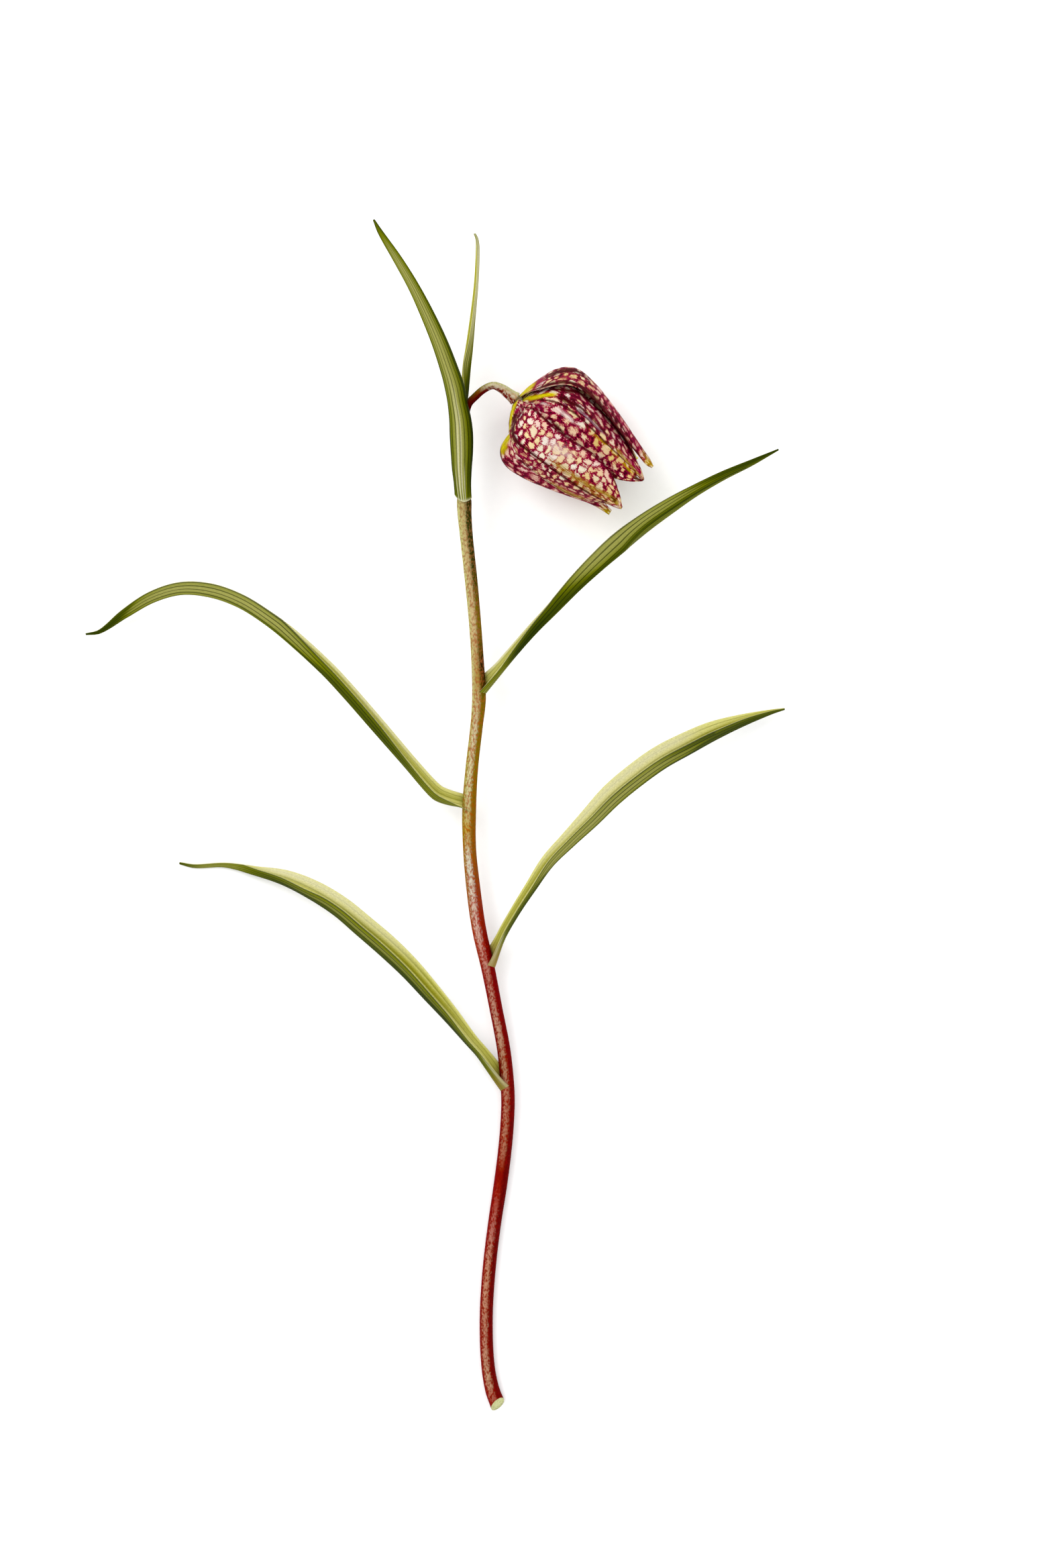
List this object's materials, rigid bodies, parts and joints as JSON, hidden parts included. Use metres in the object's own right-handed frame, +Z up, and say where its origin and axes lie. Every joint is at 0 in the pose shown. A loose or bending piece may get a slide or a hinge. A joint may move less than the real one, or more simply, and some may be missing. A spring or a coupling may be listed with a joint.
{
  "type": "snakes head fritillary",
  "caption": "Cut stem of a snake's head fritillary lying on a table, with a nodding chequered bell and narrow channelled leaves.",
  "frame": {"origin": "on the table, under the middle of the bounding box", "axes": "+Y along the stem from the cut end towards the top leaves, +X towards the bell, +Z up from the table"},
  "size_m": [0.1853, 0.3147, 0.0305],
  "materials": {
    "stem": "satin, mottled dark red to olive",
    "leaf": "satin, fine parallel veins",
    "tepal_outer": "satin, chequered",
    "tepal_inner": "satin, chequered",
    "pistil": "satin",
    "filament": "satin",
    "anther": "powdery"
  },
  "bodies": {
    "root": {"stem": "stem", "leaf_lowest_left": "leaf", "leaf_lower_right": "leaf", "leaf_upper_left": "leaf", "leaf_upper_right": "leaf", "leaf_top_back": "leaf", "leaf_top_front": "leaf", "tepal_outer_front": "tepal_outer", "tepal_outer_side": "tepal_outer", "tepal_outer_under": "tepal_outer", "tepal_inner_front": "tepal_inner", "tepal_inner_back": "tepal_inner", "tepal_inner_side": "tepal_inner", "pistil": "pistil", "filament_1": "filament", "anther_1": "anther", "filament_2": "filament", "anther_2": "anther", "filament_3": "filament", "anther_3": "anther", "filament_4": "filament", "anther_4": "anther", "filament_5": "filament", "anther_5": "anther", "filament_6": "filament", "anther_6": "anther"}
  },
  "joints": []
}
